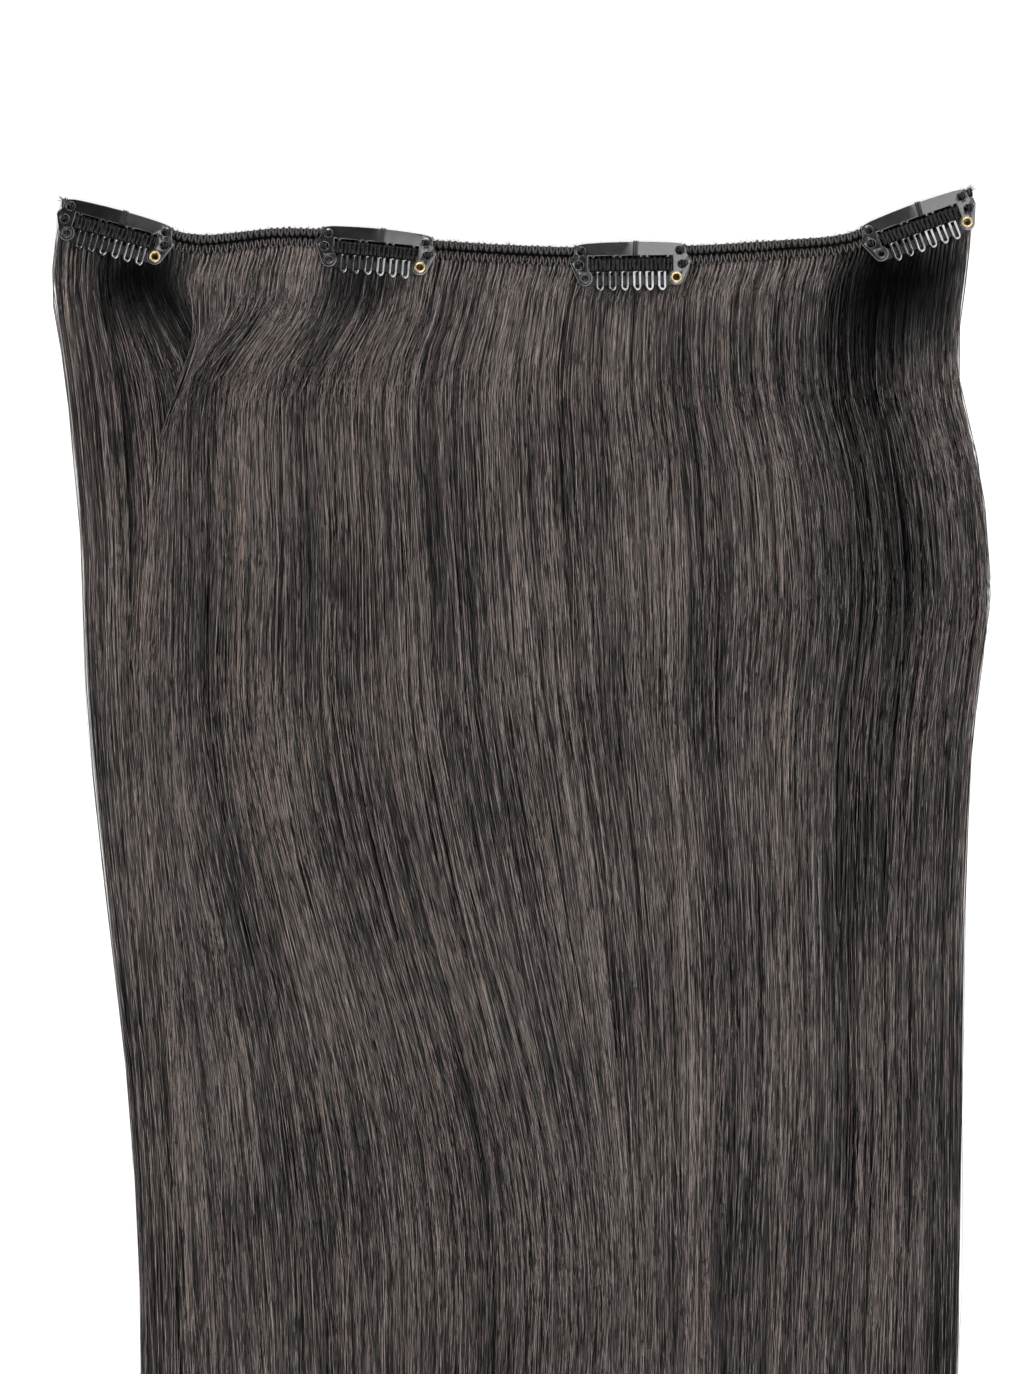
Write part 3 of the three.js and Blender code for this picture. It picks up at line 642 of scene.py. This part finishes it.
def stampSheet(rings, level, thick, bevel, steps):  # a flat outline with holes, given its thickness and soft edges
    bm = bmesh.new()
    for ring in rings:
        verts = [bm.verts.new((x, y, level)) for x, y in ring]
        for i in range(len(verts)):
            bm.edges.new((verts[i - 1], verts[i]))
    bmesh.ops.triangle_fill(bm, use_beauty=True, use_dissolve=False, edges=bm.edges[:], normal=(0, 0, 1))
    made = bmesh.ops.extrude_face_region(bm, geom=bm.faces[:])
    for v in made["geom"]:
        if isinstance(v, bmesh.types.BMVert):
            v.co.z += thick
    bmesh.ops.recalc_face_normals(bm, faces=bm.faces[:])
    rim = [e for e in bm.edges if len(e.link_faces) == 2 and e.calc_face_angle() > clip["sharpEdge"]
           and abs(e.verts[0].co.z - e.verts[1].co.z) < 1e-4]
    bmesh.ops.bevel(bm, geom=rim, offset=bevel, offset_type="OFFSET", segments=steps, profile=0.5,
                    affect="EDGES", clamp_overlap=True, material=-1)
    return bm


def placeOnClip(bm, matrix, name, material, body, nodes, crease=True, smooth=32):
    if crease:  # the sheet is folded along its middle, like a shallow roof
        bmesh.ops.bisect_plane(bm, geom=bm.verts[:] + bm.edges[:] + bm.faces[:], dist=1e-4,
                               plane_co=(0, 0, 0), plane_no=(1, 0, 0))
        for v in bm.verts:
            v.co.z -= abs(v.co.x) * roofSlope
    bmesh.ops.recalc_face_normals(bm, faces=bm.faces[:])
    bmesh.ops.transform(bm, matrix=Matrix.Scale(mm, 4) @ matrix, verts=bm.verts[:])
    mesh = bpy.data.meshes.new(name)
    bm.to_mesh(mesh)
    bm.free()
    mesh.polygons.foreach_set("use_smooth", np.ones(len(mesh.polygons), bool))
    mesh.set_sharp_from_angle(angle=math.radians(smooth))
    normals = np.zeros(len(mesh.vertices) * 3, np.float32)
    mesh.vertex_normals.foreach_get("vector", normals)
    tilt = 1 - np.abs(normals.reshape(-1, 3) @ np.array(matrix.col[2][:3]))
    rim = np.ones((len(mesh.vertices), 4), np.float32)  # where the surface turns away the coat is thin and worn, and paler: part wear, part painted highlight on the rims
    rim[:, 0] = ease(tilt, 0.1, 0.4) * (1 if crease else rivet["worn"])
    mesh.color_attributes.new(name="rim", type="FLOAT_COLOR", domain="POINT")
    mesh.color_attributes["rim"].data.foreach_set("color", rim.ravel())
    piece = addPiece(name, mesh, material, body, nodes)
    piece.modifiers.new("evened", "WEIGHTED_NORMAL").keep_sharp = True


def plateShape():
    top, corner = clip["rise"] - clip["arch"], clip["cornerRadius"]
    window = []
    for x in legPlaces:
        window += [(x - clip["leg"] / 2, windowTop), (x - clip["leg"] / 2, windowTop - clip["stub"]),
                   (x + clip["leg"] / 2, windowTop - clip["stub"]), (x + clip["leg"] / 2, windowTop)]
    lugStart = math.degrees(math.acos((windowHalf - eyeletHalf) / clip["lug"]))
    right = [(windowHalf, windowTop), *arc(eyeletHalf, 0, clip["lug"], lugStart, 340, 22),
             *arc(clipHalf - corner, clip["widest"], corner, -18, 40, 5),
             (shoulderHalf + 0.05, clip["rise"] - clip["waistDrop"] + 0.15),
             *arc(shoulderHalf - clip["shoulderRadius"], top - clip["shoulderRadius"], clip["shoulderRadius"],
                  0, 84, 9)]
    for share in (0.8, 0.65, 0.5, 0.35, 0.2, 0.07):
        right.append((shoulderHalf * share, top + clip["arch"] * (1 - share**2.2)))
    holes = []
    for side in (-1, 1):
        holes += [ringOf(side * upperHole[0], upperHole[1], clip["hole"]),
                  ringOf(side * lowerHole[0], lowerHole[1], clip["hole"]), ringOf(side * eyeletHalf, 0, lugHole)]
    return stampSheet([window + right + mirrored(right), *holes], plateLevel, clip["sheet"], clip["bevel"], 3)


def barShape():
    top = math.degrees(math.asin((clip["bar"] - clip["lug"]) / clip["lug"]))
    right = arc(eyeletHalf, 0, clip["lug"], -90, 180 - top, 24)
    holes = [ringOf(side * eyeletHalf, 0, lugHole) for side in (-1, 1)]
    return stampSheet([right + mirrored(right), *holes], 0, clip["sheet"], clip["bevel"], 2)


def combShape():
    legs = []
    for x in legPlaces:
        legs += [(x - clip["leg"] / 2, combTop), (x - clip["leg"] / 2, legTop),
                 (x + clip["leg"] / 2, legTop), (x + clip["leg"] / 2, combTop)]
    half, root = clip["toothWide"] / 2, clip["toothRoot"]
    tip = half - clip["toothReach"]
    outline = [(-combHalf, root)]
    slots = []
    for x in toothPlaces:
        outline += [(x - half, root), *arc(x, tip, half, 180, 360, 14), (x + half, root)]
        slots.append([*arc(x, root - half, clip["toothSlot"] / 2, 0, 180, 8),
                      *arc(x, tip, clip["toothSlot"] / 2, 180, 360, 8)])
    outline += [(combHalf, root), (combHalf, combTop), *reversed(legs), (-combHalf, combTop)]
    bm = stampSheet([outline, *slots], plateLevel, clip["sheet"], clip["combBevel"], 2)
    for v in bm.verts:  # one tooth is bent to lie level with those on its right
        aside = v.co.x - toothPlaces[clip["bentTooth"]]
        if abs(aside) < toothPitch / 2 and v.co.y < root:
            v.co.z -= 2 * roofSlope * aside
    return bm


grip = {
    "thick": 1.0, "overhang": 0.6, "ribs": 19, "ribHigh": 0.5, "ribLean": 0.25, "rowsUp": 10, "stepsPerRib": 6,
    "round": 0.35, "rimShare": 0.45, "least": 0.06, "groove": 0.16, "grooveAt": 0.66, "grooveWide": 0.08,
}


def gripShape():  # moulded strip with upright ribs, and a shallow groove along its upper third
    low, high = clip["toothRoot"] - grip["overhang"], legTop
    floorLevel = plateFace + clip["gap"]
    bm = bmesh.new()
    bmesh.ops.create_grid(bm, x_segments=grip["ribs"] * grip["stepsPerRib"], y_segments=grip["rowsUp"], size=0.5)
    for v in bm.verts:
        x, y = v.co.x * 2, v.co.y + 0.5
        lean = grip["ribLean"] * math.sin(9 * x + 2 * y)
        rib = abs(math.sin(math.pi * grip["ribs"] * (x + 1) / 2 + lean)) ** 0.75
        inwards = min(y, 1 - y, (1 - abs(x)) * combHalf / (high - low))
        rounded = math.sqrt(max(0.0, 1 - max(0.0, 1 - inwards / grip["round"]) ** 2))
        groove = grip["groove"] * math.exp(-(((y - grip["grooveAt"]) / grip["grooveWide"]) ** 2))
        share = grip["rimShare"] + (1 - grip["rimShare"]) * rounded
        wall = grip["thick"] * share - grip["ribHigh"] * (1 - rib) - groove
        v.co = (x * combHalf, low + (high - low) * y, floorLevel + max(wall, grip["least"]))
    made = bmesh.ops.extrude_face_region(bm, geom=bm.faces[:])
    for v in made["geom"]:
        if isinstance(v, bmesh.types.BMVert):
            v.co.z = floorLevel
    return bm


# worn: how much of the pale rim, part wear and part painted highlight, the black rivet takes
rivet = {
    "steps": 36, "rim": 1.6, "neck": 0.55, "throat": 0.2, "low": -0.45, "high": 1.65, "flat": 0.7, "worn": 0.15,
}


def rivetShape(side):  # rolled tube rivet: a funnel-shaped bore with its upper rim curled over
    bore, rim, low, neck = clip["bore"], rivet["rim"], rivet["low"], rivet["neck"]
    curl = (rim - bore) / 2
    curlHigh = curl * rivet["flat"]
    curlFoot = rivet["high"] - curlHigh
    profile = [(neck, low), (neck, rivet["throat"]), (bore, curlFoot)]
    profile += [(bore + curl - curl * math.cos(a), curlFoot + curlHigh * math.sin(a))
                for a in np.radians((20, 45, 70, 90, 110, 135, 160, 180))]
    profile += [(rim - 0.08, plateFace + 0.08), (bore + clip["wall"], plateFace + 0.05),
                (bore + clip["wall"], -0.12), (rim - 0.1, -0.14), (rim, -0.28), (rim - 0.12, low)]
    bm = bmesh.new()
    verts = [bm.verts.new((r, 0, z)) for r, z in profile]
    for i in range(len(verts)):
        bm.edges.new((verts[i - 1], verts[i]))
    bmesh.ops.spin(bm, geom=bm.verts[:] + bm.edges[:], cent=(0, 0, 0), axis=(0, 0, 1), angle=2 * math.pi,
                   steps=rivet["steps"], use_merge=True)
    bmesh.ops.remove_doubles(bm, verts=bm.verts[:], dist=1e-4)
    bmesh.ops.translate(bm, vec=(side * eyeletHalf, 0, -eyeletHalf * roofSlope), verts=bm.verts[:])
    return bm


# Gloss enamel over spring steel: a smooth dark coat that mirrors the lamps, thin and worn at the rims, where it
# turns pale and metallic: part wear, part painted highlight.
enamel, enamelTree = newMaterial("blackEnamelledSteel")
enamelPlace = addNode(enamelTree, "ShaderNodeTexCoord")
enamelPeel = addNode(enamelTree, "ShaderNodeTexNoise",
                     links={"Vector": enamelPlace.outputs["Object"], "Scale": 900, "Detail": 2})
enamelSmear = addNode(enamelTree, "ShaderNodeTexNoise",
                      links={"Vector": enamelPlace.outputs["Object"], "Scale": 260, "Detail": 4, "Distortion": 0.6})
enamelRough = addNode(enamelTree, "ShaderNodeMapRange",
                      links={"Value": enamelSmear.outputs["Fac"], "To Min": 0.12, "To Max": 0.26})
enamelBump = addNode(enamelTree, "ShaderNodeBump",
                     links={"Height": enamelPeel.outputs["Fac"], "Strength": 0.12, "Distance": 0.00005})
enamelEdge = addNode(enamelTree, "ShaderNodeAttribute", {"attribute_name": "rim"})
enamelRim = addNode(enamelTree, "ShaderNodeSeparateColor", links={"Color": enamelEdge.outputs["Color"]})
# the rims' pale colour and metal: part wear, part painted highlight
enamelWornAndHighlit = addNode(enamelTree, "ShaderNodeMapRange",
                     links={"Value": enamelRim.outputs["Red"], "To Max": 0.75})
enamelMetal = addNode(enamelTree, "ShaderNodeMapRange",
                      links={"Value": enamelRim.outputs["Red"], "To Max": 0.35})
enamelBlack = addNode(enamelTree, "ShaderNodeValToRGB", links={"Fac": enamelSmear.outputs["Fac"]},
                      stops=[(0.3, "#070708"), (0.7, "#131315")])
enamelColour = addNode(enamelTree, "ShaderNodeMix", {"data_type": "RGBA"},
                       {0: enamelWornAndHighlit.outputs["Result"], 6: enamelBlack.outputs["Color"], 7: linear("#d2d2d6")})
enamelShader = addNode(enamelTree, "ShaderNodeBsdfPrincipled", links={
    "Base Color": enamelColour.outputs[2], "Metallic": enamelMetal.outputs["Result"],
    "Roughness": enamelRough.outputs["Result"], "Specular IOR Level": 0.42, "Coat Weight": 0.26,
    "Coat Roughness": 0.1, "Normal": enamelBump.outputs["Normal"]})
addNode(enamelTree, "ShaderNodeOutputMaterial", links={"Surface": enamelShader.outputs[0]})

# The comb is plated in black nickel: a darker mirror than bare steel, so it turns from bright to black.
nickel, nickelTree = newMaterial("blackNickelPlate")
nickelPlace = addNode(nickelTree, "ShaderNodeTexCoord")
nickelSmear = addNode(nickelTree, "ShaderNodeTexNoise",
                      links={"Vector": nickelPlace.outputs["Object"], "Scale": 420, "Detail": 3})
nickelRough = addNode(nickelTree, "ShaderNodeMapRange",
                      links={"Value": nickelSmear.outputs["Fac"], "To Min": 0.1, "To Max": 0.24})
nickelColour = addNode(nickelTree, "ShaderNodeValToRGB", links={"Fac": nickelSmear.outputs["Fac"]},
                       stops=[(0.3, "#4a4a4b"), (0.7, "#69696a")])
nickelShader = addNode(nickelTree, "ShaderNodeBsdfPrincipled", links={
    "Base Color": nickelColour.outputs["Color"], "Metallic": 1.0, "Roughness": nickelRough.outputs["Result"]})
addNode(nickelTree, "ShaderNodeOutputMaterial", links={"Surface": nickelShader.outputs[0]})

# The bar's enamel as a rougher, duller and darker copy of the clip's enamel: a shaded copy, painted shade for the
# bar that lies in the clip's shadow.
shadedBarEnamel, satinTree = newMaterial("shadedBarEnamelCopy")
satinPlace = addNode(satinTree, "ShaderNodeTexCoord")
satinWear = addNode(satinTree, "ShaderNodeTexNoise",
                    links={"Vector": satinPlace.outputs["Object"], "Scale": 700, "Detail": 4})
satinRough = addNode(satinTree, "ShaderNodeMapRange",
                     links={"Value": satinWear.outputs["Fac"], "To Min": 0.28, "To Max": 0.46})
satinColour = addNode(satinTree, "ShaderNodeValToRGB", links={"Fac": satinWear.outputs["Fac"]},
                      stops=[(0.3, "#060606"), (0.7, "#101011")])
satinShader = addNode(satinTree, "ShaderNodeBsdfPrincipled", links={
    "Base Color": satinColour.outputs["Color"], "Roughness": satinRough.outputs["Result"],
    "Specular IOR Level": 0.22})
addNode(satinTree, "ShaderNodeOutputMaterial", links={"Surface": satinShader.outputs[0]})

# Drawn brass, tumbled to a soft polish: pale yellow, a little stained.
brass, brassTree = newMaterial("tumbledBrass")
brassPlace = addNode(brassTree, "ShaderNodeTexCoord")
brassStain = addNode(brassTree, "ShaderNodeTexNoise",
                     links={"Vector": brassPlace.outputs["Object"], "Scale": 1400, "Detail": 3})
brassRough = addNode(brassTree, "ShaderNodeMapRange",
                     links={"Value": brassStain.outputs["Fac"], "To Min": 0.22, "To Max": 0.42})
brassColour = addNode(brassTree, "ShaderNodeValToRGB", links={"Fac": brassStain.outputs["Fac"]},
                      stops=[(0.3, "#84704a"), (0.7, "#c4b088")])
brassShader = addNode(brassTree, "ShaderNodeBsdfPrincipled", links={
    "Base Color": brassColour.outputs["Color"], "Metallic": 0.85, "Roughness": brassRough.outputs["Result"]})
addNode(brassTree, "ShaderNodeOutputMaterial", links={"Surface": brassShader.outputs[0]})

# Moulded silicone: deep black with a soft, slightly oily shine on its ribs.
silicone, siliconeTree = newMaterial("mouldedSilicone")
siliconePlace = addNode(siliconeTree, "ShaderNodeTexCoord")
siliconeGrain = addNode(siliconeTree, "ShaderNodeTexNoise",
                        links={"Vector": siliconePlace.outputs["Object"], "Scale": 1800, "Detail": 4})
siliconeBump = addNode(siliconeTree, "ShaderNodeBump",
                       links={"Height": siliconeGrain.outputs["Fac"], "Strength": 0.4, "Distance": 0.00006})
siliconeColour = addNode(siliconeTree, "ShaderNodeValToRGB", links={"Fac": siliconeGrain.outputs["Fac"]},
                         stops=[(0.3, "#040404"), (0.7, "#0f0e0e")])
siliconeShader = addNode(siliconeTree, "ShaderNodeBsdfPrincipled", links={
    "Base Color": siliconeColour.outputs["Color"], "Roughness": 0.28, "Specular IOR Level": 0.25,
    "Normal": siliconeBump.outputs["Normal"]})
addNode(siliconeTree, "ShaderNodeOutputMaterial", links={"Surface": siliconeShader.outputs[0]})


sewing = {
    "radius": 0.1, "sides": 5, "steps": 17, "perHole": 3, "centreWraps": 8, "wrapFrom": 0.55, "wrapPitch": 0.17,
}


def makeSewing(number, matrix):  # the threads that hold a clip on: over its top edge and through its side holes
    paths = []
    low, high = windowTop, clip["rise"]
    for i in range(sewing["centreWraps"]):  # round the plate's middle, just right of its fold
        x = sewing["wrapFrom"] + sewing["wrapPitch"] * i + 0.05 * math.sin(5 * i)
        lean = 0.35 + 0.12 * math.sin(3 * i)
        paths.append([(x, low - 0.25, 0.1), (x, low - 0.3, 0.9), (x + lean * 0.15, low - 0.12, 1.36),
                      (x + lean * 0.3, low + 0.6, 1.4), (x + lean * 0.5, low + 1.8, 1.38),
                      (x + lean * 0.8, high - 0.5, 1.4), (x + lean * 0.95, high + 0.12, 1.3),
                      (x + lean, high + 0.18, 0.7), (x + lean, high - 0.4, 0.0)])
    for side in (-1, 1):
        for hole, endX, endY in ((upperHole, clipHalf - 1.45, high - 1.15), (lowerHole, clipHalf - 0.55, 5.1)):
            for i in range(sewing["perHole"]):  # out of the hole, over the edge and back below
                spread = i / (sewing["perHole"] - 1) - 0.5
                x0, y0 = hole[0] + 0.3 * spread, hole[1] - 0.4 * spread
                x1, y1 = endX + 0.45 * spread, endY - 0.7 * spread + 0.12 * math.sin(7 * i)
                points = [(x0, y0, 0.2), (x0, y0, 0.8), (x0 + (x1 - x0) * 0.3, y0 + (y1 - y0) * 0.3, 1.2),
                          (x0 + (x1 - x0) * 0.65, y0 + (y1 - y0) * 0.65, 1.33), (x1, y1, 1.25),
                          (x1 + (x1 - x0) * 0.12, y1 + (y1 - y0) * 0.12, 0.8),
                          (x1 + (x1 - x0) * 0.05, y1, 0.1), (x0 + 0.5, y0 + 0.2, -0.15), (x0, y0, -0.2)]
                paths.append([(side * x, y, z) for x, y, z in points])
    local = np.array(paths, float)
    local[..., 2] -= np.abs(local[..., 0]) * roofSlope
    keys = np.arange(local.shape[1])
    fine = np.linspace(0, local.shape[1] - 1, sewing["steps"])
    local = np.stack([np.stack([readCurve(keys, one[:, axis], fine) for axis in range(3)], -1) for one in local])
    turn = np.array(matrix)
    world = local @ turn[:3, :3].T + turn[:3, 3]
    aside = np.cross(np.gradient(world, axis=1), np.array([0.31, 0.87, 0.38]))
    radii = np.full(world.shape[:2], sewing["radius"])
    mesh = tubeMesh(f"clip{number}Sewing", world, radii, sewing["sides"], aside)
    addPiece(f"clip{number}Sewing", mesh, nylonThread, "root")


for number, place in enumerate(clipPlaces, 1):
    matrix = clipMatrix(place)
    node = f"clip_{number}_"
    combBody = node + "comb_body"
    placeOnClip(plateShape(), matrix, f"clip{number}Plate", enamel, "root", [node + "plate"])
    placeOnClip(barShape(), matrix, f"clip{number}Bar", shadedBarEnamel, "root", [node + "bar"])
    placeOnClip(combShape(), matrix, f"clip{number}Comb", nickel, combBody, [node + "comb"])
    placeOnClip(gripShape(), matrix, f"clip{number}Grip", silicone, combBody, [node + "grip"], smooth=60)
    placeOnClip(rivetShape(-1), matrix, f"clip{number}RivetLeft", enamel, "root", [node + "eyelet_left"],
                crease=False, smooth=50)
    placeOnClip(rivetShape(1), matrix, f"clip{number}RivetRight", brass, "root", [node + "eyelet_right"],
                crease=False, smooth=50)
    makeSewing(number, matrix)
print("stage: clips")
